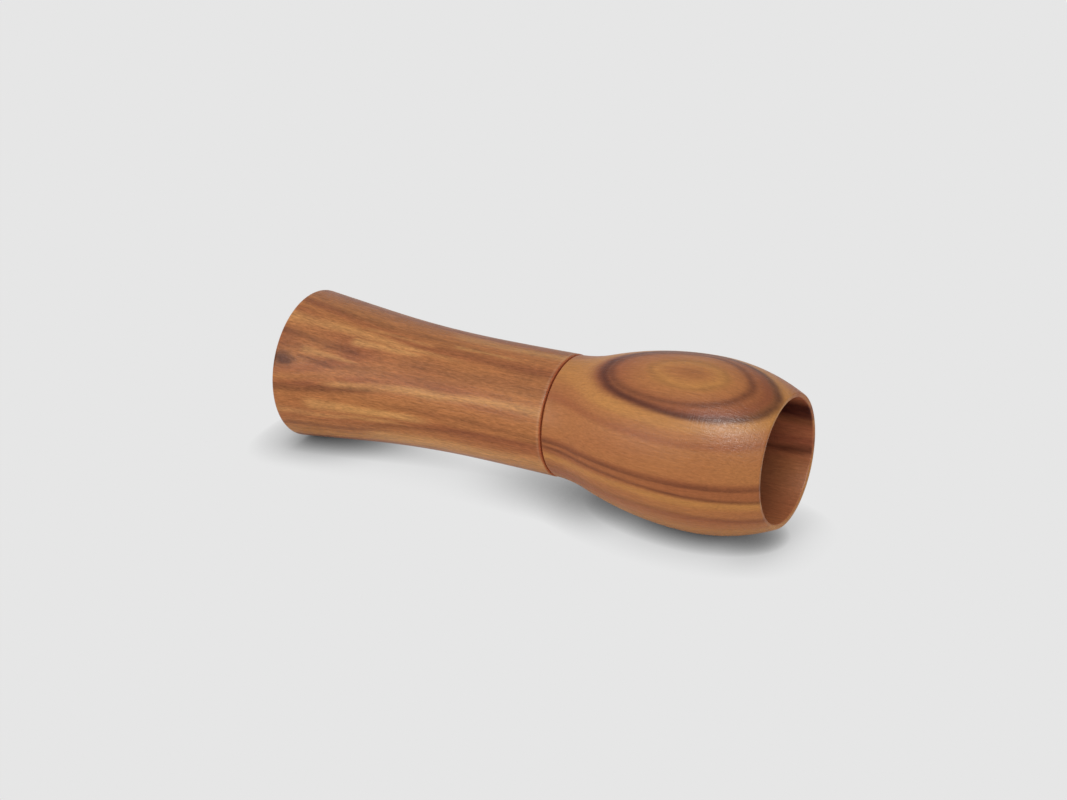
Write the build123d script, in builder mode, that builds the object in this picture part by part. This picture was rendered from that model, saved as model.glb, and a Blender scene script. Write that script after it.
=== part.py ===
from build123d import *
import os
from math import sqrt

# A turned wooden bird call in two plug-together halves, with a double-reed insert inside.
# Millimetres. The turning axis is +X: the centre of the mouth ring is the origin, and the bell opens at
# the far end. +Z is up, and the reeds lie flat, on top of their tone board.

# Mouthpiece, outside
mouthpiece_length = 73.5
flare_diameter = 37.2
flare_root_from_mouth = 20.0
flare_root_diameter = 32.8
waist_from_mouth = 52.0
waist_diameter = 29.4
joint_diameter = 29.8
mouth_edge_round = 0.9

# Mouthpiece, inside
cup_diameter = 28.4
cup_depth = 14.0
air_bore_diameter = 17.0
socket_depth = 17.0
socket_lead_in = 0.5

# Seam and tenon
seam_gap = 0.4
seam_edge_round = 0.4
tenon_diameter = 20.0
tenon_clearance = 0.06
tenon_tip_chamfer = 0.6

# Bell, outside
bell_length = 56.1
shoulder_diameter = 29.5
neck_from_shoulder = 9.0
neck_diameter = 32.8
belly_diameter = 41.4
crest_from_lip = 20.8
lip_wall = 1.1
lip_edge_round = 0.4

# Bell, inside
bell_bore_diameter = 29.5
throat_diameter = 14.0
throat_past_shoulder = 10.0
funnel_length = 10.0
funnel_round = 4.0

# Rubber rings on the tenon
ring_section = 1.3
ring_clearance = 0.03
groove_side_room = 0.2
front_ring_from_tip = 4.5
rear_ring_from_shoulder = 5.5

# Tone board
insert_clearance = 0.05
board_reach = 35.0
board_root_length = 20.0
board_face_below_axis = 0.5
board_tip_fall = 1.0
board_tip_rise = 1.2
nose_radius = 12.0
channel_from_tip = 5.0
channel_width = 5.0
channel_depth = 4.0
channel_corner_round = 1.8

# Reeds and wedge
reed_width = 12.0
reed_thickness = 0.3
reed_root_length = 14.0
short_reed_setback = 7.0
wedge_from_tip = 1.0
wedge_length = 13.0
wedge_nose_length = 3.0
wedge_nose_height = 3.5

# The largest share of a narrow face that the round along each of its edges may take
round_share = 0.4

# Places along the axis
tenon_tip = mouthpiece_length - socket_depth
shoulder = mouthpiece_length + seam_gap
bell_mouth = shoulder + bell_length
throat_end = shoulder + throat_past_shoulder
board_tip = tenon_tip - board_reach
board_length = board_reach + board_root_length
board_end = board_tip + board_length
wedge_front = tenon_tip + wedge_from_tip
reed_end = wedge_front + reed_root_length
ring_stations = {
    "front_o_ring": tenon_tip + front_ring_from_tip,
    "rear_o_ring": shoulder - rear_ring_from_shoulder,
}

# Radii and heights that the fits share
tenon_radius = tenon_diameter / 2
socket_radius = tenon_radius + tenon_clearance
throat_radius = throat_diameter / 2
insert_radius = throat_radius - insert_clearance
bell_bore_radius = bell_bore_diameter / 2
lip_radius = bell_bore_radius + lip_wall
ring_outer_radius = socket_radius - ring_clearance
ring_centre_radius = ring_outer_radius - ring_section / 2
groove_floor_radius = ring_outer_radius - ring_section - ring_clearance
board_face = -board_face_below_axis
long_reed_top = board_face + reed_thickness
short_reed_top = long_reed_top + reed_thickness


def nosed_strip(tip, end, width):
    """Outline a flat strip along +X whose tip has the round nose of the insert."""
    setback = nose_radius - sqrt(nose_radius**2 - width**2 / 4)
    with BuildLine() as outline:
        nose = ThreePointArc((tip + setback, -width / 2), (tip, 0), (tip + setback, width / 2))
        Polyline(nose @ 1, (end, width / 2), (end, -width / 2), nose @ 0)
    return outline.edges()


os.makedirs("parts", exist_ok=True)

# The mouthpiece is one turning: a concave sweep from the flare to the waist, a lip cup and an air bore
# bored from the mouth, and a plain socket bored from the seam end.
with BuildPart() as mouthpiece:
    with BuildSketch(Plane.XZ):
        with BuildLine():
            waist = (waist_from_mouth, waist_diameter / 2)
            flare_root = (flare_root_from_mouth, flare_root_diameter / 2)
            joint_run = TangentArc(waist, (mouthpiece_length, joint_diameter / 2), tangent=(1, 0))
            sweep_in = TangentArc(waist, flare_root, tangent=(-1, 0))
            flare_run = TangentArc(flare_root, (0, flare_diameter / 2), tangent=sweep_in % 1)
            bores = Polyline(
                joint_run @ 1,
                (mouthpiece_length, socket_radius),
                (tenon_tip, socket_radius),
                (tenon_tip, air_bore_diameter / 2),
                (cup_depth, air_bore_diameter / 2),
            )
            cup = TangentArc(bores @ 1, (0, cup_diameter / 2), tangent=(-1, 0))
            Line(cup @ 1, flare_run @ 1)
        make_face()
    revolve(axis=Axis.X)
    turned_edges = mouthpiece.edges().filter_by(GeomType.CIRCLE).group_by(Axis.X)
    seam_edges = turned_edges[-1].sort_by(SortBy.RADIUS)
    mouth_ring_width = (flare_diameter - cup_diameter) / 2
    fillet(turned_edges[0], min(mouth_edge_round, round_share * mouth_ring_width))
    fillet(seam_edges[-1], seam_edge_round)
    chamfer(seam_edges[0], socket_lead_in)
mouthpiece.part.label = "mouthpiece"
export_step(mouthpiece.part, "parts/mouthpiece.step")

# The bell is one turning: tenon and shoulder, a hollow neck that swells into the belly, and a thin lip.
# Its wide bore funnels down to the throat, which runs out through the grooved tenon.
with BuildPart() as bell:
    with BuildSketch(Plane.XZ):
        with BuildLine():
            crest = (bell_mouth - crest_from_lip, belly_diameter / 2)
            neck = (shoulder + neck_from_shoulder, neck_diameter / 2)
            to_lip = TangentArc(crest, (bell_mouth, lip_radius), tangent=(1, 0))
            to_neck = TangentArc(crest, neck, tangent=(-1, 0))
            to_shoulder = TangentArc(neck, (shoulder, shoulder_diameter / 2), tangent=to_neck % 1)
            tenon = Polyline(
                to_shoulder @ 1,
                (shoulder, tenon_radius),
                (tenon_tip, tenon_radius),
                (tenon_tip, throat_radius),
            )
            inside = FilletPolyline(
                tenon @ 1,
                (throat_end, throat_radius),
                (throat_end + funnel_length, bell_bore_radius),
                (bell_mouth, bell_bore_radius),
                radius=funnel_round,
            )
            Line(inside @ 1, to_lip @ 1)
        make_face()
    revolve(axis=Axis.X)
    turned_edges = bell.edges().filter_by(GeomType.CIRCLE).group_by(Axis.X)
    fillet(turned_edges[-1], min(lip_edge_round, round_share * lip_wall))
    fillet(turned_edges[1].sort_by(SortBy.RADIUS)[-1], seam_edge_round)
    chamfer(turned_edges[0].sort_by(SortBy.RADIUS)[-1], tenon_tip_chamfer)
    with BuildSketch(Plane.XZ):
        with Locations(*[(station, groove_floor_radius) for station in ring_stations.values()]):
            Rectangle(
                ring_section + 2 * groove_side_room,
                socket_radius - groove_floor_radius,
                align=(Align.CENTER, Align.MIN),
            )
    revolve(axis=Axis.X, mode=Mode.SUBTRACT)
bell.part.label = "bell"
export_step(bell.part, "parts/bell.step")

# Two rubber rings sit in the tenon's grooves and grip the socket.
for ring_name, station in ring_stations.items():
    with BuildPart() as ring:
        with BuildSketch(Plane.XZ):
            with Locations((station, ring_centre_radius)):
                Circle(ring_section / 2)
        revolve(axis=Axis.X)
    ring.part.label = ring_name
    export_step(ring.part, f"parts/{ring_name}.step")

# The tone board is a half-round bar. Its flat face falls away from the reeds in front of the wedge, its
# underside rises towards the nose, and a round-bottomed sound channel runs out through its root.
with BuildPart() as tone_board:
    with BuildSketch(Plane.YZ.offset(board_tip)):
        Circle(insert_radius)
    extrude(amount=board_length)
    with BuildSketch(Plane.XY):
        make_face(nosed_strip(board_tip, board_end, 2 * nose_radius))
    extrude(amount=throat_diameter, both=True, mode=Mode.INTERSECT)
    fall = Plane(
        origin=(wedge_front, 0, board_face),
        x_dir=(0, -1, 0),
        z_dir=(-board_tip_fall, 0, wedge_front - board_tip),
    )
    underside = Plane(
        origin=(tenon_tip, 0, -insert_radius),
        x_dir=(0, -1, 0),
        z_dir=(board_tip_rise, 0, board_reach),
    )
    split(bisect_by=Plane.XY.offset(board_face), keep=Keep.BOTTOM)
    split(bisect_by=fall, keep=Keep.BOTTOM)
    split(bisect_by=underside, keep=Keep.TOP)
    with BuildSketch(Plane.YZ.offset(board_tip + channel_from_tip)) as channel:
        with Locations((0, board_face - channel_depth)):
            Rectangle(channel_width, channel_depth + throat_radius, align=(Align.CENTER, Align.MIN))
        fillet(channel.vertices().group_by(Axis.Y)[0], min(channel_corner_round, round_share * channel_width))
    extrude(amount=board_length - channel_from_tip, mode=Mode.SUBTRACT)
tone_board.part.label = "tone_board"
export_step(tone_board.part, "parts/tone_board.step")

# Two flat reeds lie on the board, the shorter one on top, and end together under the wedge.
with BuildPart() as long_reed:
    with BuildSketch(Plane.XY.offset(board_face)):
        make_face(nosed_strip(board_tip, reed_end, reed_width))
    extrude(amount=reed_thickness)
long_reed.part.label = "long_reed"
export_step(long_reed.part, "parts/long_reed.step")

with BuildPart() as short_reed:
    with BuildSketch(Plane.XY.offset(long_reed_top)):
        make_face(nosed_strip(board_tip + short_reed_setback, reed_end, reed_width))
    extrude(amount=reed_thickness)
short_reed.part.label = "short_reed"
export_step(short_reed.part, "parts/short_reed.step")

# The wedge fills the rest of the throat above the reeds, and its front is cut back at the top.
with BuildPart() as wedge:
    with BuildSketch(Plane.YZ.offset(wedge_front)):
        Circle(insert_radius)
    extrude(amount=wedge_length)
    wedge_nose = Plane(
        origin=(wedge_front + wedge_nose_length, 0, insert_radius),
        x_dir=(0, -1, 0),
        z_dir=(-wedge_nose_height, 0, wedge_nose_length),
    )
    split(bisect_by=Plane.XY.offset(short_reed_top), keep=Keep.TOP)
    split(bisect_by=wedge_nose, keep=Keep.BOTTOM)
wedge.part.label = "wedge"
export_step(wedge.part, "parts/wedge.step")
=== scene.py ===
from math import atan2, cos, pi, radians, sin, tan
import bpy
from mathutils import Matrix, Vector


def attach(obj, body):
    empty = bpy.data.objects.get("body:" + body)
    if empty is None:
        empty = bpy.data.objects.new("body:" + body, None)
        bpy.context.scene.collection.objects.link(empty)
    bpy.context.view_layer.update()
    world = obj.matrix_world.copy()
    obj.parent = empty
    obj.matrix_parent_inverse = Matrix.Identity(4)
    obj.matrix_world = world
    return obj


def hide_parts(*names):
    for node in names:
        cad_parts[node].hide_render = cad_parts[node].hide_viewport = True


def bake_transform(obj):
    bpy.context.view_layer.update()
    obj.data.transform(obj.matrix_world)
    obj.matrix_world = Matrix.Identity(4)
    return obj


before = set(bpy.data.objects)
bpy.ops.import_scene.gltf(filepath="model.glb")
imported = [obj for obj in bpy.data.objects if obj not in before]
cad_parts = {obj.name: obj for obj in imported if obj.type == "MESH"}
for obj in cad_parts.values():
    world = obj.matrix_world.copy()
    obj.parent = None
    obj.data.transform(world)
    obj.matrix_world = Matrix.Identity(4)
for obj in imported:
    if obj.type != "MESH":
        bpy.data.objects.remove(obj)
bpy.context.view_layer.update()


# Camera. It stands half a metre off, above and to the right of the call, behind a long lens.
# The call lies on its flare and its belly, so its axis tips up a little from the floor, and the camera
# is level with the floor, not with the call.
mm = 0.001
rest_tilt = radians(1.18)
floor_up = Vector((sin(rest_tilt), 0, cos(rest_tilt)))
eye = Vector((326.2, -457.6, 231.2)) * mm
aim = Vector((65.4, -3.0, 3.6)) * mm
sensor_width = 36
photo_width = 1067
focal_length_in_pixels = 2400
ahead = (aim - eye).normalized()
right = ahead.cross(floor_up).normalized()
upward = right.cross(ahead)
camera = bpy.data.objects.new("camera", bpy.data.cameras.new("camera"))
camera.data.sensor_width = sensor_width
camera.data.lens = sensor_width * focal_length_in_pixels / photo_width
turned_to_aim = Matrix((right, upward, -ahead)).transposed()
camera.matrix_world = Matrix.Translation(eye) @ turned_to_aim.to_4x4()
bpy.context.scene.collection.objects.link(camera)
bpy.context.scene.camera = camera
bpy.context.scene.view_settings.view_transform = "Standard"


# Floor. A sheet of pale grey paper runs under the call and out of the picture, in the same grey as the
# air behind it. As the camera sees it, the paper glows with a painted shadow, worked out from how near the
# call is and set deeper or fainter along it: it darkens close under the flare and the belly, hardly under
# the waist, and most on the shaded side behind the seam.
class Wire:
    """A socket of a node tree, which takes part in plain sums and can grow further nodes."""

    def __init__(self, tree, socket=None):
        self.tree = tree
        self.socket = socket

    def node(self, kind, settings=None, sockets=None, out=0):
        made = self.tree.nodes.new(kind)
        for name, value in (settings or {}).items():
            if name == "stops":
                while len(made.color_ramp.elements) < len(value):
                    made.color_ramp.elements.new(1)
                for element, (position, colour) in zip(made.color_ramp.elements, value):
                    element.position = position
                    element.color = colour
            elif name == "interpolation":
                made.color_ramp.interpolation = value
            else:
                setattr(made, name, value)
        for name, value in (sockets or {}).items():
            if isinstance(value, Wire):
                self.tree.links.new(value.socket, made.inputs[name])
            else:
                made.inputs[name].default_value = value
        return Wire(self.tree, made.outputs[out] if made.outputs else None)

    def maths(self, operation, first, second=0.0):
        return self.node("ShaderNodeMath", {"operation": operation}, {0: first, 1: second})

    def blend(self, share, under, over):
        return self.node("ShaderNodeMix", {"data_type": "RGBA"}, {0: share, 6: under, 7: over}, 2)

    def __add__(self, other):
        return self.maths("ADD", self, other)

    def __radd__(self, other):
        return self.maths("ADD", other, self)

    def __sub__(self, other):
        return self.maths("SUBTRACT", self, other)

    def __rsub__(self, other):
        return self.maths("SUBTRACT", other, self)

    def __mul__(self, other):
        return self.maths("MULTIPLY", self, other)

    def __rmul__(self, other):
        return self.maths("MULTIPLY", other, self)

    def __truediv__(self, other):
        return self.maths("DIVIDE", self, other)

    def __abs__(self):
        return self.maths("ABSOLUTE", self)


def shade(red, green, blue):
    """A colour as it is read off a screen, from 0 to 255, turned into light."""
    parts = [channel / 255 for channel in (red, green, blue)]
    linear = [((part + 0.055) / 1.055) ** 2.4 if part > 0.04045 else part / 12.92 for part in parts]
    return (*linear, 1.0)


def plain_material(name):
    """A new material with an empty tree, and a wire to start it from."""
    material = bpy.data.materials.new(name)
    material.use_nodes = True
    material.node_tree.nodes.clear()
    return material, Wire(material.node_tree)


def seen_directly(wire):
    """1 for a ray that shows the backdrop, straight, in a reflection or through film, and 0 for light."""
    straight = wire.node("ShaderNodeLightPath", out="Is Camera Ray")
    mirrored = wire.node("ShaderNodeLightPath", out="Is Glossy Ray")
    through = wire.node("ShaderNodeLightPath", out="Is Transmission Ray")
    return wire.maths("MAXIMUM", wire.maths("MAXIMUM", straight, mirrored), through)


pale_grey = shade(230, 230, 230)
shadow_grey = shade(8, 8, 9)
paper_white = shade(242, 242, 242)
floor_below_mouth = 18.47 * mm
floor_reach = 6.0
touch_reach = 5 * mm
shadow_reach = 12 * mm
shadow_samples = 16
front_side = (0.66, -0.38, 0.64)
mouth_side = (-0.76, 0.1, 0.64)
hidden_by_paper = 0.18

paper, wire = plain_material("pale_paper")
floor_place = wire.node("ShaderNodeTexCoord", out="Object")
floor_along = wire.node("ShaderNodeSeparateXYZ", sockets={0: floor_place}, out="X")


def open_to(side):
    """The share of light that reaches the paper from one side, where the paper itself hides a part."""
    facing = wire.node("ShaderNodeCombineXYZ", sockets={"X": side[0], "Y": side[1], "Z": side[2]})
    reached = wire.node(
        "ShaderNodeAmbientOcclusion",
        {"samples": shadow_samples},
        {"Distance": shadow_reach, "Normal": facing},
        "AO",
    )
    return wire.node("ShaderNodeMapRange", sockets={"Value": reached, "From Min": hidden_by_paper})


def along_call(start, end, before, after):
    """A number that changes smoothly between two places along the call, in millimetres from its mouth."""
    return wire.node(
        "ShaderNodeMapRange",
        {"interpolation_type": "SMOOTHSTEP"},
        {
            "Value": floor_along,
            "From Min": start * mm,
            "From Max": end * mm,
            "To Min": before,
            "To Max": after,
        },
    )


under_edges = wire.node(
    "ShaderNodeAmbientOcclusion",
    {"samples": shadow_samples},
    {"Distance": touch_reach},
    "AO",
)
close_by = along_call(6, 26, 0.3, 0.85) + along_call(35, 72, 0.0, -0.3) + along_call(80, 96, 0.0, 0.25)
further_off = along_call(6, 26, 1.1, 0.34) + along_call(35, 72, 0.0, 0.26) + along_call(80, 96, 0.0, -0.25)
from_mouth = along_call(60, 105, 0.0, 0.15)
lit_share = wire.maths("POWER", under_edges, close_by)
lit_share = lit_share * wire.maths("POWER", open_to(front_side), further_off)
lit_share = lit_share * wire.maths("POWER", open_to(mouth_side), from_mouth)
under_waist = along_call(4, 34, 1.0, 0.37)
behind_seam = along_call(43, 76, 1.0, 4.5)
under_belly = along_call(74, 96, 1.0, 0.45)
under_lip = along_call(116, 130, 1.0, 1.7)
lit_share = wire.maths("POWER", lit_share, under_waist * behind_seam * under_belly * under_lip)
# Painted shadow: the paper's glow, as the camera sees it, takes this shadow tone.
painted_shadow_tone = wire.blend(lit_share, shadow_grey, pale_grey)
glow = wire.node("ShaderNodeEmission", sockets={"Color": painted_shadow_tone})
matt = wire.node("ShaderNodeBsdfDiffuse", sockets={"Color": paper_white})
surface = wire.node("ShaderNodeMixShader", sockets={0: seen_directly(wire), 1: matt, 2: glow})
wire.node("ShaderNodeOutputMaterial", sockets={"Surface": surface})

floor_mesh = bpy.data.meshes.new("floor")
floor_fall = floor_reach * tan(rest_tilt)
floor_corners = [
    (u * floor_reach, v * floor_reach, -floor_below_mouth - u * floor_fall)
    for u, v in ((-1, -1), (1, -1), (1, 1), (-1, 1))
]
floor_mesh.from_pydata(floor_corners, [], [(0, 1, 2, 3)])
floor_mesh.materials.append(paper)
floor = bpy.data.objects.new("floor", floor_mesh)
bpy.context.scene.collection.objects.link(floor)


# Light. A pale room that is brightest behind the camera and darkest on the side that the bell faces. A
# window low on the left and a small lamp overhead, both in front, only add the satin sheen on the wood.
room_dark = 0.45
room_bright = 1.27
bright_side = (-0.45, -0.89, 0.0)

room = bpy.data.worlds.new("pale_room")
room.use_nodes = True
room.node_tree.nodes.clear()
wire = Wire(room.node_tree)
looking = wire.node("ShaderNodeTexCoord", out="Generated")
towards = wire.node(
    "ShaderNodeVectorMath",
    {"operation": "DOT_PRODUCT"},
    {0: looking, 1: bright_side},
    "Value",
)
room_level = wire.node(
    "ShaderNodeMapRange",
    {"interpolation_type": "SMOOTHSTEP"},
    {"Value": towards, "From Min": -0.9, "From Max": 1.0, "To Min": room_dark, "To Max": room_bright},
)
air = wire.blend(seen_directly(wire), room_level, pale_grey)
backdrop = wire.node("ShaderNodeBackground", sockets={"Color": air})
wire.node("ShaderNodeOutputWorld", sockets={"Surface": backdrop})
bpy.context.scene.world = room


def hang_light(name, place, size, power):
    """A square light at a place in millimetres, turned to the call, that only shows as sheen."""
    light = bpy.data.objects.new(name, bpy.data.lights.new(name, "AREA"))
    light.data.size = size * mm
    light.data.energy = power
    light.location = Vector(place) * mm
    light.rotation_mode = "QUATERNION"
    light.rotation_quaternion = (aim - light.location).to_track_quat("-Z", "Y")
    light.visible_diffuse = False
    bpy.context.scene.collection.objects.link(light)


hang_light("window", (-377, -762, 264), 300, 3.0)
hang_light("lamp", (215, -530, 690), 200, 15.0)


# Mouthpiece. One length of olive wood turned between centres: a flare for the lips, a slim waist, a cup
# and an air bore drilled from the mouth, and a plain socket drilled from the other end.
# Its outside is sanded fine and oiled, and its rims are eased with paper on the lathe.
def sweep(start, heading, end, steps):
    """Points of the arc that leaves start along heading and reaches end, and its heading there."""
    start, heading, end = Vector(start), Vector(heading), Vector(end)
    inward = Vector((-heading.y, heading.x))
    chord = end - start
    turn = 2 * atan2(chord.dot(inward), chord.dot(heading))
    radius = chord.length_squared / (2 * chord.dot(inward))
    points = []
    for step in range(steps + 1):
        angle = turn * step / steps
        points.append(start + heading * radius * sin(angle) + inward * radius * (1 - cos(angle)))
    return points, heading * cos(turn) + inward * sin(turn)


def eased(before, corner, after, radius, steps=8):
    """Points of the small round that takes off a corner between two straight runs."""
    corner = Vector(corner)
    back = (Vector(before) - corner).normalized()
    on = (Vector(after) - corner).normalized()
    opening = back.angle(on)
    setback = radius / tan(opening / 2)
    middle = (back + on).normalized()
    centre = corner + middle * radius / sin(opening / 2)
    first = corner + back * setback - centre
    last = corner + on * setback - centre
    return [centre + radius * first.slerp(last, step / steps) for step in range(steps + 1)]


def straight(start, end, pace):
    """Points along a straight run, without its end."""
    start, end = Vector(start), Vector(end)
    count = max(1, round((end - start).length / pace))
    return [start.lerp(end, step / count) for step in range(count)]


def clear_of(points, place, distance):
    """The points that are further than that from a corner that gets a round."""
    return [point for point in points if (point - Vector(place)).length > distance]


merge_distance = 0.002 * mm
sharp_corner = radians(35)

lathe = bpy.data.node_groups.new("turned_on_the_lathe", "GeometryNodeTree")
lathe_inputs = {}
for label, kind in (
    ("Outline", "NodeSocketGeometry"),
    ("Steps Around", "NodeSocketInt"),
    ("Sharp Edge", "NodeSocketFloat"),
    ("Finish", "NodeSocketMaterial"),
):
    lathe_inputs[label] = lathe.interface.new_socket(label, in_out="INPUT", socket_type=kind).identifier
lathe.interface.new_socket("Turning", in_out="OUTPUT", socket_type="NodeSocketGeometry")
wire = Wire(lathe)
outline = wire.node("NodeGroupInput", out="Outline")
steps_around = wire.node("NodeGroupInput", out="Steps Around")
sharp_edge = wire.node("NodeGroupInput", out="Sharp Edge")
finish = wire.node("NodeGroupInput", out="Finish")
outline_count = wire.node("GeometryNodeAttributeDomainSize", sockets={0: outline}, out="Point Count")
ring_count = steps_around + 1
blank = wire.node(
    "GeometryNodeMeshGrid",
    sockets={"Vertices X": outline_count + 1, "Vertices Y": ring_count},
)
number = wire.node("GeometryNodeInputIndex")
station = wire.maths("FLOOR", (number + 0.5) / ring_count)
turn = (number - station * ring_count) / steps_around * (2 * pi)
cutter = wire.node(
    "GeometryNodeSampleIndex",
    {"data_type": "FLOAT_VECTOR", "domain": "POINT"},
    {
        "Geometry": outline,
        "Value": wire.node("GeometryNodeInputPosition"),
        "Index": wire.maths("MODULO", station, outline_count),
    },
)
along = wire.node("ShaderNodeSeparateXYZ", sockets={0: cutter}, out="X")
radius = wire.node("ShaderNodeSeparateXYZ", sockets={0: cutter}, out="Z")
place = wire.node(
    "ShaderNodeCombineXYZ",
    sockets={"X": along, "Y": radius * wire.maths("SINE", turn), "Z": radius * wire.maths("COSINE", turn)},
)
spun = wire.node("GeometryNodeSetPosition", sockets={"Geometry": blank, "Position": place})
closed = wire.node("GeometryNodeMergeByDistance", sockets={"Geometry": spun, "Distance": merge_distance})
smooth = wire.node(
    "GeometryNodeSetShadeSmooth",
    {"domain": "FACE"},
    {"Geometry": closed, "Shade Smooth": True},
)
corner_angle = wire.node("GeometryNodeInputMeshEdgeAngle", out="Unsigned Angle")
is_corner = wire.maths("GREATER_THAN", corner_angle, sharp_edge)
crisp = wire.node(
    "GeometryNodeSetShadeSmooth",
    {"domain": "EDGE"},
    {"Geometry": smooth, "Selection": is_corner, "Shade Smooth": False},
)
whole = wire.node("GeometryNodeRealizeInstances", sockets={0: crisp})
dressed = wire.node("GeometryNodeSetMaterial", sockets={"Geometry": whole, "Material": finish})
wire.node("NodeGroupOutput", sockets={0: dressed})


def turn_piece(name, outline_points, material, around=192):
    """Spin a closed outline, given as places along the axis and radii in millimetres, into a solid."""
    count = len(outline_points)
    mesh = bpy.data.meshes.new(name + "_outline")
    mesh.from_pydata(
        [(point[0] * mm, 0, point[1] * mm) for point in outline_points],
        [(index, (index + 1) % count) for index in range(count)],
        [],
    )
    piece = bpy.data.objects.new(name, mesh)
    bpy.context.scene.collection.objects.link(piece)
    spinning = piece.modifiers.new("lathe", "NODES")
    spinning.node_group = lathe
    spinning[lathe_inputs["Steps Around"]] = around
    spinning[lathe_inputs["Sharp Edge"]] = sharp_corner
    spinning[lathe_inputs["Finish"]] = material
    solid = piece.evaluated_get(bpy.context.evaluated_depsgraph_get())
    piece.data = bpy.data.meshes.new_from_object(solid)
    piece.data.name = name
    piece.modifiers.clear()
    bpy.data.meshes.remove(mesh)
    return piece


def olive_wood(name, heart_side, bow, wander, layers, lines, streaks, bore, seam, speckle, seed, knots=()):
    """Oiled olive wood. Its growth layers lie across the direction heart_side, in degrees round the axis
    from the top towards the camera, and layers and lines are heights in that direction. A line is a level,
    its drift along the axis, its width above and below, and its strength. A streak runs along the outside
    from one place and turn to another, with its curve, its two half widths and its strength, dark above 0
    and pale below, and one that starts beyond the seam lies on the wall of the bore. Inside the bore's
    radius the wood is bare from the drill, and at the seam it ends."""
    material, wire = plain_material(name)
    object_place = wire.node("ShaderNodeTexCoord", out="Object")
    spot = wire.node("ShaderNodeVectorMath", {"operation": "SCALE"}, {0: object_place, "Scale": 1000.0})
    along = wire.node("ShaderNodeSeparateXYZ", sockets={0: spot}, out="X")
    across = wire.node("ShaderNodeSeparateXYZ", sockets={0: spot}, out="Y")
    up = wire.node("ShaderNodeSeparateXYZ", sockets={0: spot}, out="Z")

    def grain(length, width, detail=2.0, shift=0.0):
        """Noise from 0 to 1, drawn out along the axis, with features of that length and width."""
        scaled = wire.node(
            "ShaderNodeVectorMath",
            {"operation": "MULTIPLY"},
            {0: spot, 1: (1 / length, 1 / width, 1 / width)},
        )
        return wire.node(
            "ShaderNodeTexNoise",
            {"noise_dimensions": "4D"},
            {"Vector": scaled, "W": seed + shift, "Scale": 1.0, "Detail": detail, "Roughness": 0.55},
        )

    def swell(value, start, end):
        """0 before start and 1 after end, rising smoothly."""
        return wire.node(
            "ShaderNodeMapRange",
            {"interpolation_type": "SMOOTHSTEP"},
            {"Value": value, "From Min": start, "From Max": end},
        )

    slow_bend = grain(46, 13, 1.0) - 0.5
    quick_bend = grain(15, 3.0, 2.0, 3.0) - 0.5
    lean = radians(heart_side)
    height = up * cos(lean) - across * sin(lean)
    aside = up * sin(lean) + across * cos(lean)
    height = height - aside * aside * bow + slow_bend * wander + quick_bend * (quick_share * wander)

    stub = 0.0
    for knot_along, knot_turn, knot_radius, knot_length, knot_width in knots:
        centre = (knot_along, -knot_radius * sin(radians(knot_turn)), knot_radius * cos(radians(knot_turn)))
        offset = wire.node("ShaderNodeVectorMath", {"operation": "SUBTRACT"}, {0: spot, 1: centre})
        shrunk = wire.node(
            "ShaderNodeVectorMath",
            {"operation": "DIVIDE"},
            {0: offset, 1: (knot_length, knot_width, knot_width)},
        )
        nearness = wire.node("ShaderNodeVectorMath", {"operation": "LENGTH"}, {0: shrunk}, "Value")
        near = 1 - swell(nearness + (grain(3, 1.2, 2.0, 7.0) - 0.5) * 0.8, 0.1, 1.1)
        stub = near + stub

    reach = 22.0
    tones = wire.node(
        "ShaderNodeValToRGB",
        {
            "stops": [((level + reach) / (2 * reach), tone) for level, tone in sorted(layers)],
            "interpolation": "EASE",
        },
        {"Fac": (height + reach) / (2 * reach)},
    )

    uneven = grain(18, 4, 2.0, 5.0) * 1.2 + 0.4
    radius_squared = across * across + up * up
    inside = 1 - swell(radius_squared, bore**2, (bore + 0.15) ** 2)
    in_tenon_or_socket = 1 - swell(radius_squared, 14.0**2, 14.3**2)
    in_funnel_or_bore = swell(along, 86.0, 90.0)
    inside = inside * wire.maths("MAXIMUM", in_funnel_or_bore, in_tenon_or_socket)
    dark = stub * knot_share if knots else 0.0
    for level, drift, above, below, strength in lines:
        gap = height + (along - drift_start) * drift - level
        edge = wire.maths("MAXIMUM", gap / above, gap / -below)
        dark = wire.maths("MAXIMUM", (1 - swell(edge, 0.0, 1.0)) * strength * uneven, dark)
    pale = 0.0
    turned = wire.maths("ARCTAN2", across * -1.0, up) * (180 / pi) + slow_bend * 9 + quick_bend * 8
    for start, start_turn, end, end_turn, curve, start_width, end_width, strength in streaks:
        share = (along - start) / (end - start)
        centre = share * (end_turn - start_turn + 4 * curve) - share * share * (4 * curve) + start_turn
        half_width = share * (end_width - start_width) + start_width
        ends = swell(share, 0.0, 0.12) * (1 - swell(share, 0.75, 1.0))
        band = (1 - swell(abs(turned - centre) / half_width, 0.0, 1.0)) * ends * (abs(strength) * uneven)
        band = band * (inside if start > past_seam else 1 - inside)
        if strength > 0:
            dark = wire.maths("MAXIMUM", band, dark)
        else:
            pale = wire.maths("MAXIMUM", band, pale)
    # Painted shade: the bore's wall is drawn darker deeper in, away from the lip.
    away_from_lip = 1 - swell(along, 116.0, 131.0)
    past_tenon = swell(along, 76.0, 90.0)
    depth_shade = inside * away_from_lip * past_tenon * depth_share
    dark = wire.maths("MAXIMUM", dark, depth_shade)
    bare = wire.blend(swell(along, 86.0, 92.0), raw_wood, bored_wood)
    coloured = wire.blend(pale, tones, pale_wood_and_painted_light)
    coloured = wire.blend(inside * bare_share, coloured, bare)
    coloured = wire.blend(dark * heart_share, coloured, heart_brown_and_painted_shade)
    to_seam = seam - along
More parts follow.
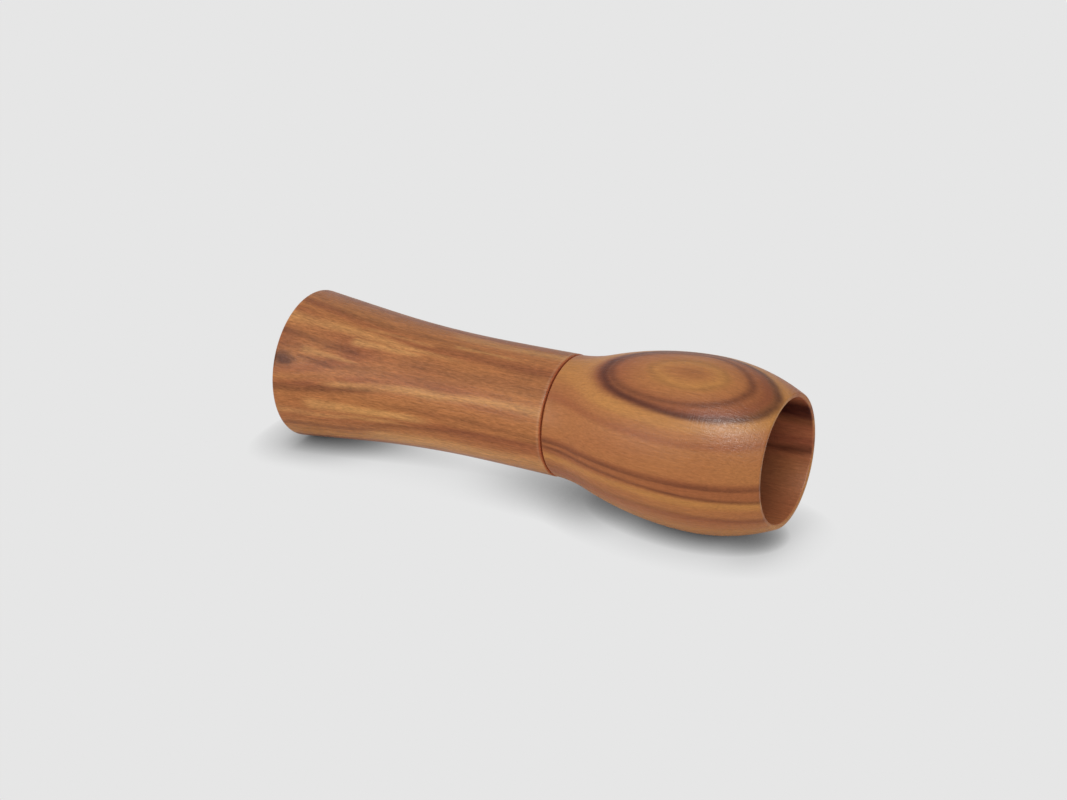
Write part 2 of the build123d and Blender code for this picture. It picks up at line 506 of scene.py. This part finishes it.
    # Painted highlight: a pale band just short of the seam stands in for the light that the eased rim
    # catches.
    rim_highlight = swell(to_seam, 0.2, 0.5) * (1 - swell(to_seam, 0.5, 1.2)) * rim_highlight_share
    coloured = wire.blend(rim_highlight, coloured, painted_rim_highlight)
    near_rim = swell(radius_squared, 13.2**2, 14.4**2)
    cut = (1 - swell(abs(to_seam), 0.05, 0.3)) * (0.3 + near_rim * 0.55)
    coloured = wire.blend(cut, coloured, end_grain)

    fibre = grain(9, 0.5, 3.0, 11.0)
    fleck = grain(1.6, 0.28, 2.0, 13.0)
    patch = grain(24, 9, 1.0, 17.0)
    sanding = grain(0.22, 3.5, 1.0, 19.0)
    lightness = 1 + ((fibre - 0.5) * 0.45 + (fleck - 0.5) * 0.6) * speckle + (patch - 0.5) * 0.15
    wood_colour = wire.node(
        "ShaderNodeHueSaturation",
        sockets={"Hue": 0.5 + (patch - 0.5) * 0.012, "Value": lightness, "Color": coloured},
    )
    roughness = 0.38 - (fibre - 0.5) * 0.25 + (fleck - 0.5) * 0.3 + (sanding - 0.5) * 0.2
    surface_height = fibre * 0.5 + fleck * 0.5 + sanding * 0.3
    relief = wire.node(
        "ShaderNodeBump",
        sockets={"Strength": 0.8, "Distance": grain_depth, "Height": surface_height},
    )
    oiled = wire.node(
        "ShaderNodeBsdfPrincipled",
        sockets={
            "Base Color": wood_colour,
            "Roughness": roughness,
            "Normal": relief,
            "IOR": oil_ior,
        },
    )
    wire.node("ShaderNodeOutputMaterial", sockets={"Surface": oiled})
    return material


oil_ior = 1.22
grain_depth = 0.16 * mm
quick_share = 0.35
drift_start = 100
past_seam = 75
knot_share = 0.95
bare_share = 0.45
heart_share = 0.88
depth_share = 0.6
rim_highlight_share = 0.14

pale_wood_and_painted_light = shade(204, 149, 90)
honey = shade(184, 125, 69)
tan_wood = shade(172, 110, 64)
russet = shade(158, 95, 57)
umber = shade(140, 80, 50)
heart_brown_and_painted_shade = shade(68, 30, 25)
bored_wood = shade(206, 118, 92)
raw_wood = shade(208, 150, 104)
painted_rim_highlight = shade(222, 170, 140)
end_grain = shade(186, 104, 68)

mouthpiece_length = 73.5
flare_radius = 18.6
flare_root = (20.0, 16.4)
waist = (52.0, 14.7)
joint_radius = 14.9
mouth_edge = 0.9
seam_edge = 0.4
cup_radius = 14.2
cup_depth = 14.0
air_bore_radius = 8.5
socket_radius = 10.06
socket_floor = 56.5
socket_lead_in = 0.5

mouth_rim = (0, flare_radius)
cup_rim = (0, cup_radius)
joint_rim = (mouthpiece_length, joint_radius)
socket_rim = (mouthpiece_length, socket_radius + socket_lead_in)
socket_wall = (mouthpiece_length - socket_lead_in, socket_radius)
to_flare_root, flare_heading = sweep(waist, (-1, 0), flare_root, 32)
to_mouth, _ = sweep(flare_root, flare_heading, mouth_rim, 20)
to_joint, _ = sweep(waist, (1, 0), joint_rim, 22)
cup_wall, _ = sweep((cup_depth, air_bore_radius), (-1, 0), cup_rim, 24)
mouthpiece_outline = [
    *eased(cup_rim, mouth_rim, to_mouth[-2], mouth_edge),
    *clear_of(reversed(to_mouth), mouth_rim, 2 * mouth_edge),
    *list(reversed(to_flare_root))[1:-1],
    *clear_of(to_joint, joint_rim, 2 * seam_edge),
    *eased(to_joint[-2], joint_rim, (mouthpiece_length, socket_radius), seam_edge),
    *straight(socket_rim, socket_wall, 1),
    *straight(socket_wall, (socket_floor, socket_radius), 2),
    *straight((socket_floor, socket_radius), (socket_floor, air_bore_radius), 1),
    *straight((socket_floor, air_bore_radius), (cup_depth, air_bore_radius), 2),
    *clear_of(cup_wall, cup_rim, 2 * mouth_edge),
    *eased(cup_wall[-2], cup_rim, mouth_rim, mouth_edge),
]
mouthpiece_layers = [
    (-21, russet),
    (-17, honey),
    (-14, tan_wood),
    (-11.5, russet),
    (-9, honey),
    (-5.5, tan_wood),
    (-3.5, russet),
    (0, honey),
    (4, tan_wood),
    (8.0, russet),
    (9.4, tan_wood),
    (12.4, tan_wood),
    (14.0, russet),
    (15.0, tan_wood),
    (16.0, russet),
    (17.4, tan_wood),
    (18.8, russet),
]
mouthpiece_lines = [
    (-16.2, 0.0, 0.3, 1.0, 0.5),
    (-9.6, 0.0, 0.3, 0.9, 0.5),
    (-3.6, 0.0, 0.4, 1.0, 0.4),
]
mouthpiece_streaks = [
    (-6, 8, 64, 20, -2, 6, 6, 0.3),
    (38, 19, 84, 36, 2, 6, 14, 0.26),
    (30, 46, 90, 50, 0, 9, 12, 0.22),
    (-6, 41, 26, 47, 0, 8, 4, 0.42),
    (-6, 54, 12, 54, 0, 6, 5, 0.2),
    (12, 48, 24, 49, 0, 4, 4, 0.5),
    (5, 61, 18, 63, 0, 3.5, 3, 0.45),
    (10, 60, 52, 60, 0, 7, 5, 0.16),
    (-8, 87, 34, 73, 3, 7, 4, 0.5),
    (28, 89, 90, 91, 0, 4, 4, 0.28),
    (-6, 122, 32, 118, 3, 5, 5, 0.42),
    (-6, 131, 40, 130, 0, 5, 5, 0.2),
    (18, 119, 90, 95, -6, 5, 5, 0.33),
    (40, 0, 92, 3, 0, 8, 10, -0.55),
    (20, 22, 42, 22, 0, 4, 4, -0.35),
    (44, 17, 64, 19, 0, 4, 2, -0.5),
    (-6, 27, 52, 36, -2, 11, 4, -0.5),
    (18, 37, 40, 37, 0, 8, 3, -0.6),
    (6, 55, 24, 55.5, 0, 5.5, 2, -0.5),
    (10, 79, 90, 67.5, -3.5, 5, 9.5, -0.6),
    (7, 98, 46, 98, 0, 10, 5, -0.75),
    (-4, 108, 40, 105, 0, 7, 5, -0.5),
    (20, 130, 92, 119, 0, 11, 16, -0.7),
    (36, 122, 92, 124, 0, 8, 12, -0.65),
    # Painted shade: the broad faint dark band along the top darkens the wood there to offset the grey sheen
    # on the top edge.
    (-6, -14, 92, -14, 0, 32, 32, 0.24),
    (-4, 141, 24, 141, 0, 5, 4, -0.4),
    (-6, 150, 60, 154, 3, 5, 7, 0.36),
    (10, 160, 90, 156, -2, 6, 10, -0.5),
    (-6, -34, 62, -28, 3, 6, 5, 0.34),
    (-4, -48, 40, -52, 0, 9, 4, -0.55),
    (24, -62, 90, -70, 3, 5, 7, 0.36),
    (-6, -84, 52, -92, -3, 10, 5, -0.5),
    (-6, -108, 90, -100, 4, 5, 5, 0.42),
    (16, -124, 90, -118, 0, 8, 12, -0.55),
    (-6, -146, 70, -150, 0, 6, 6, 0.34),
]
mouthpiece_wood = olive_wood(
    "olive_wood_mouthpiece",
    heart_side=47,
    bow=0.003,
    wander=2.4,
    layers=mouthpiece_layers,
    lines=mouthpiece_lines,
    streaks=mouthpiece_streaks,
    bore=14.3,
    seam=mouthpiece_length,
    speckle=1.9,
    seed=2.0,
    knots=[(2.0, 65, 18.2, 6.5, 2.7)],
)
turned_mouthpiece = turn_piece("turned_mouthpiece", mouthpiece_outline, mouthpiece_wood)
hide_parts("mouthpiece")
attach(turned_mouthpiece, "mouthpiece")


# Bell. The second turning of the same billet: a tenon that plugs into the mouthpiece, a short neck, a
# round belly, and a wide bore with a thin lip. The belly cuts through the flat growth layers near its
# top, so they come out there as rings.
tenon_tip = 56.5
tenon_radius = 10.0
tenon_chamfer = 0.6
shoulder = (73.9, 14.75)
neck = (82.9, 16.4)
crest = (109.2, 20.7)
lip = (130.0, 15.85)
lip_edge = 0.4
bell_bore_radius = 14.75
throat_radius = 7.0
throat_end = 83.9
funnel_end = 93.9
funnel_round = 4.0
groove_floor_radius = 8.7
groove_half_width = 0.85
front_groove = 61.0
rear_groove = 68.4

bore_rim = (lip[0], bell_bore_radius)
throat_corner = (throat_end, throat_radius)
funnel_corner = (funnel_end, bell_bore_radius)
to_neck, neck_heading = sweep(crest, (-1, 0), neck, 34)
to_shoulder, _ = sweep(neck, neck_heading, shoulder, 14)
to_lip, _ = sweep(crest, (1, 0), lip, 28)
tenon_outline = [(tenon_tip, tenon_radius - tenon_chamfer), (tenon_tip + tenon_chamfer, tenon_radius)]
for groove in (front_groove, rear_groove):
    tenon_outline.append((groove - groove_half_width, tenon_radius))
    tenon_outline.append((groove - groove_half_width, groove_floor_radius))
    tenon_outline.append((groove + groove_half_width, groove_floor_radius))
    tenon_outline.append((groove + groove_half_width, tenon_radius))
bell_outline = [
    *tenon_outline,
    (shoulder[0], tenon_radius),
    *eased((shoulder[0], tenon_radius), shoulder, to_shoulder[-2], seam_edge),
    *clear_of(reversed(to_shoulder), shoulder, 2 * seam_edge),
    *list(reversed(to_neck))[1:-1],
    *clear_of(to_lip, lip, 2 * lip_edge),
    *eased(to_lip[-2], lip, bore_rim, lip_edge),
    *eased(lip, bore_rim, funnel_corner, lip_edge),
    *straight((lip[0] - 2 * lip_edge, bell_bore_radius), (funnel_end + 3, bell_bore_radius), 2),
    *eased(bore_rim, funnel_corner, throat_corner, funnel_round),
    *eased(funnel_corner, throat_corner, (tenon_tip, throat_radius), funnel_round),
    *straight((throat_end - 3, throat_radius), (tenon_tip, throat_radius), 2),
    (tenon_tip, throat_radius),
]
bell_layers = [
    (-21, russet),
    (-17.5, tan_wood),
    (-14, honey),
    (-11, honey),
    (-8.6, tan_wood),
    (-6.4, russet),
    (-4.7, tan_wood),
    (-3.4, tan_wood),
    (-1.2, honey),
    (0.6, russet),
    (3.6, russet),
    (5.2, tan_wood),
    (8, tan_wood),
    (10.8, tan_wood),
    (12.1, russet),
    (13.7, tan_wood),
    (15.0, honey),
    (15.8, honey),
    (17.2, umber),
    (18.4, russet),
    (19.6, tan_wood),
    (20.2, honey),
    (20.8, tan_wood),
]
bell_lines = [
    (-18.5, 0.0, 0.4, 1.2, 0.5),
    (-16.0, 0.01, 0.4, 0.8, 0.4),
    (-5.4, 0.03, 1.6, 1.1, 0.26),
    (0.75, 0.03, 0.8, 0.9, 0.5),
    (2.95, 0.0, 1.8, 0.6, 0.5),
    (17.1, 0.029, 0.9, 0.9, 0.8),
    (18.2, -0.018, 0.6, 0.7, 0.54),
    (20.05, 0.0, 0.25, 0.3, 0.2),
    (20.9, 0.0, 0.2, 0.3, 0.2),
]
# Painted shading on the bore's wall: the broad dark band high on its back side is painted shade, and the
# broad pale band low on its back side is painted light. The two narrow dark bands are grain lines.
bore_lines_and_painted_shading = [
    (84, -62, 150, -62, 0, 30, 30, 1.15),
    (84, -104, 150, -103, 0, 7, 6, 0.8),
    (84, -112, 150, -111, 0, 5, 5, 0.15),
    (84, -136, 150, -136, 0, 34, 34, -0.5),
]
bell_wood = olive_wood(
    "olive_wood_bell",
    heart_side=16.5,
    bow=0.004,
    wander=1.1,
    layers=bell_layers,
    lines=bell_lines,
    streaks=bore_lines_and_painted_shading,
    bore=14.78,
    seam=shoulder[0],
    speckle=1.0,
    seed=6.0,
)
turned_bell = turn_piece("turned_bell", bell_outline, bell_wood)
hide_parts("bell")
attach(turned_bell, "bell")


# Rubber rings. Two black nitrile rings, moulded, with a dull bloom on the rubber.
# They are rolled into the tenon's grooves, and their squeeze in the socket holds the two turnings together.
ring_section_radius = 0.65
ring_centre_radius = 9.38
ring_stations = {"front_ring": front_groove, "rear_ring": rear_groove}
ring_nodes = {"front_ring": "front_o_ring", "rear_ring": "rear_o_ring"}
ring_facets = 28
ring_steps_around = 96
rubber_pit_depth = 0.02 * mm
rubber_black = shade(24, 24, 25)
rubber_bloom = shade(52, 51, 50)

ring_rubber, wire = plain_material("ring_rubber")
spot = wire.node("ShaderNodeTexCoord", out="Object")
bloom = wire.node("ShaderNodeTexNoise", sockets={"Vector": spot, "Scale": 420.0, "Detail": 4.0})
pitting = wire.node("ShaderNodeTexNoise", sockets={"Vector": spot, "Scale": 6000.0, "Detail": 2.0})
rubber_colour = wire.blend(bloom * 1.6 - 0.4, rubber_black, rubber_bloom)
rubber_relief = wire.node(
    "ShaderNodeBump",
    sockets={"Strength": 0.4, "Distance": rubber_pit_depth, "Height": pitting},
)
rubber = wire.node(
    "ShaderNodeBsdfPrincipled",
    sockets={"Base Color": rubber_colour, "Roughness": 0.45 + bloom * 0.3, "Normal": rubber_relief},
)
wire.node("ShaderNodeOutputMaterial", sockets={"Surface": rubber})

for ring_name, station in ring_stations.items():
    ring_outline = []
    for facet in range(ring_facets):
        turn = 2 * pi * facet / ring_facets
        ring_along = station + ring_section_radius * sin(turn)
        ring_radius = ring_centre_radius + ring_section_radius * cos(turn)
        ring_outline.append((ring_along, ring_radius))
    ring = turn_piece(ring_name, ring_outline, ring_rubber, ring_steps_around)
    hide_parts(ring_nodes[ring_name])
    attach(ring, "seal_rings")


# Tone board. A half-round bar of black plastic, milled with a sound channel, whose root is a push fit in
# the bell's throat. The solid's own shape is the real one, so it keeps its mesh and gets its finish here:
# fine cutter lines along its length, and a little pale dust from handling.
cutter_depth = 0.02 * mm
board_black = shade(26, 27, 29)
dusty_black = shade(58, 59, 61)

board_plastic, wire = plain_material("board_plastic")
spot = wire.node("ShaderNodeTexCoord", out="Object")
stretched = wire.node(
    "ShaderNodeVectorMath",
    {"operation": "MULTIPLY"},
    {0: spot, 1: (160.0, 5200.0, 5200.0)},
)
cutter_lines = wire.node("ShaderNodeTexNoise", sockets={"Vector": stretched, "Scale": 1.0, "Detail": 3.0})
handling = wire.node("ShaderNodeTexNoise", sockets={"Vector": spot, "Scale": 190.0, "Detail": 5.0})
board_dust = handling * 0.9 + cutter_lines * 0.3 - 0.25
board_colour = wire.blend(board_dust, board_black, dusty_black)
board_relief = wire.node(
    "ShaderNodeBump",
    sockets={"Strength": 0.5, "Distance": cutter_depth, "Height": cutter_lines},
)
board = wire.node(
    "ShaderNodeBsdfPrincipled",
    sockets={
        "Base Color": board_colour,
        "Roughness": 0.28 + handling * 0.25 + cutter_lines * 0.15,
        "Normal": board_relief,
    },
)
wire.node("ShaderNodeOutputMaterial", sockets={"Surface": board})
board_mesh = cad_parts["tone_board"].data
board_mesh.materials.clear()
board_mesh.materials.append(board_plastic)


# Reeds. Two blades die-cut from frosted clear film, the shorter on top of the longer. Their square ends
# are clamped in the throat under the wedge, and their round tips bend up and down over the board.
reed_half_width = 6.0
reed_thickness = 0.3
reed_nose_radius = 12.0
reed_root_end = 71.5
board_face = -0.5
reed_stations = 56
reed_columns = 28
long_reed_tip = 21.5
short_reed_tip = 28.5
frost_depth = 0.01 * mm
film_grey = shade(205, 208, 202)
film_white = shade(236, 236, 228)

reed_film, wire = plain_material("reed_film")
spot = wire.node("ShaderNodeTexCoord", out="Object")
drawn = wire.node(
    "ShaderNodeVectorMath",
    {"operation": "MULTIPLY"},
    {0: spot, 1: (90.0, 1400.0, 1400.0)},
)
drawing = wire.node("ShaderNodeTexNoise", sockets={"Vector": drawn, "Scale": 1.0, "Detail": 3.0})
frost = wire.node("ShaderNodeTexNoise", sockets={"Vector": spot, "Scale": 3000.0, "Detail": 2.0})
film_colour = wire.blend(drawing, film_grey, film_white)
film_relief = wire.node(
    "ShaderNodeBump",
    sockets={"Strength": 0.25, "Distance": frost_depth, "Height": frost},
)
film = wire.node(
    "ShaderNodeBsdfPrincipled",
    sockets={
        "Base Color": film_colour,
        "Roughness": 0.3 + frost * 0.2,
        "Alpha": 0.5 + drawing * 0.25,
        "Normal": film_relief,
    },
)
wire.node("ShaderNodeOutputMaterial", sockets={"Surface": film})


def cut_reed(name, tip, underside):
    """One blade of film, in strips fine enough to bend, with a round nose and square sides."""
    corners = []
    for level in (underside, underside + reed_thickness):
        for column in range(reed_columns + 1):
            aside = reed_half_width * (2 * column / reed_columns - 1)
            start = tip + reed_nose_radius - (reed_nose_radius**2 - aside**2) ** 0.5
            for station in range(reed_stations + 1):
                along = start + (reed_root_end - start) * station / reed_stations
                corners.append((along * mm, aside * mm, level * mm))
    row = reed_stations + 1
    layer = row * (reed_columns + 1)
    faces = []
    for column in range(reed_columns):
        for station in range(reed_stations):
            first = column * row + station
            faces.append((first, first + row, first + row + 1, first + 1))
            faces.append((layer + first, layer + first + 1, layer + first + row + 1, layer + first + row))
    rim = [column * row for column in range(reed_columns + 1)]
    rim += [reed_columns * row + station for station in range(1, row)]
    rim += [column * row + reed_stations for column in reversed(range(reed_columns))]
    rim += list(range(reed_stations - 1, 0, -1))
    for here, there in zip(rim, rim[1:] + rim[:1]):
        faces.append((here, layer + here, layer + there, there))
    mesh = bpy.data.meshes.new(name)
    mesh.from_pydata(corners, [], faces)
    mesh.materials.append(reed_film)
    reed = bpy.data.objects.new(name, mesh)
    bpy.context.scene.collection.objects.link(reed)
    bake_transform(reed)
    return reed


long_blade = cut_reed("long_blade", long_reed_tip, board_face)
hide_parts("long_reed")
short_blade = cut_reed("short_blade", short_reed_tip, board_face + reed_thickness)
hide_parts("short_reed")


# Wedge. A half-round plug sliced from a block of pressed cork: pale granules of several tans, glued with a
# dark binder, with small open pits. It is pushed in over the reeds and clamps them on the board.
granules_per_metre = 900.0
cork_pit_depth = 0.15 * mm
binder_brown = shade(104, 68, 40)

cork, wire = plain_material("cork")
spot = wire.node("ShaderNodeTexCoord", out="Object")
granule = wire.node(
    "ShaderNodeTexVoronoi",
    {"feature": "F1"},
    {"Vector": spot, "Scale": granules_per_metre},
    "Color",
)
granule_tone = wire.node("ShaderNodeSeparateColor", sockets={0: granule})
edge = wire.node(
    "ShaderNodeTexVoronoi",
    {"feature": "DISTANCE_TO_EDGE"},
    {"Vector": spot, "Scale": granules_per_metre},
)
crumb = wire.node("ShaderNodeTexNoise", sockets={"Vector": spot, "Scale": 5200.0, "Detail": 3.0})
binder = wire.node(
    "ShaderNodeMapRange",
    sockets={"Value": edge + crumb * 0.08, "From Min": 0.05, "From Max": 0.14},
)
granule_colour = wire.node(
    "ShaderNodeValToRGB",
    {
        "stops": [
            (0.0, shade(128, 88, 52)),
            (0.3, shade(174, 131, 84)),
            (0.7, shade(196, 155, 104)),
            (1.0, shade(212, 176, 126)),
        ],
    },
    {"Fac": granule_tone},
)
cork_colour = wire.blend(binder, binder_brown, granule_colour)
cork_relief = wire.node(
    "ShaderNodeBump",
    sockets={"Strength": 0.7, "Distance": cork_pit_depth, "Height": binder * 0.6 + crumb * 0.4},
)
pressed = wire.node(
    "ShaderNodeBsdfPrincipled",
    sockets={"Base Color": cork_colour, "Roughness": 0.75 + crumb * 0.2, "Normal": cork_relief},
)
wire.node("ShaderNodeOutputMaterial", sockets={"Surface": pressed})
wedge_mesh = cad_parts["wedge"].data
wedge_mesh.materials.clear()
wedge_mesh.materials.append(cork)
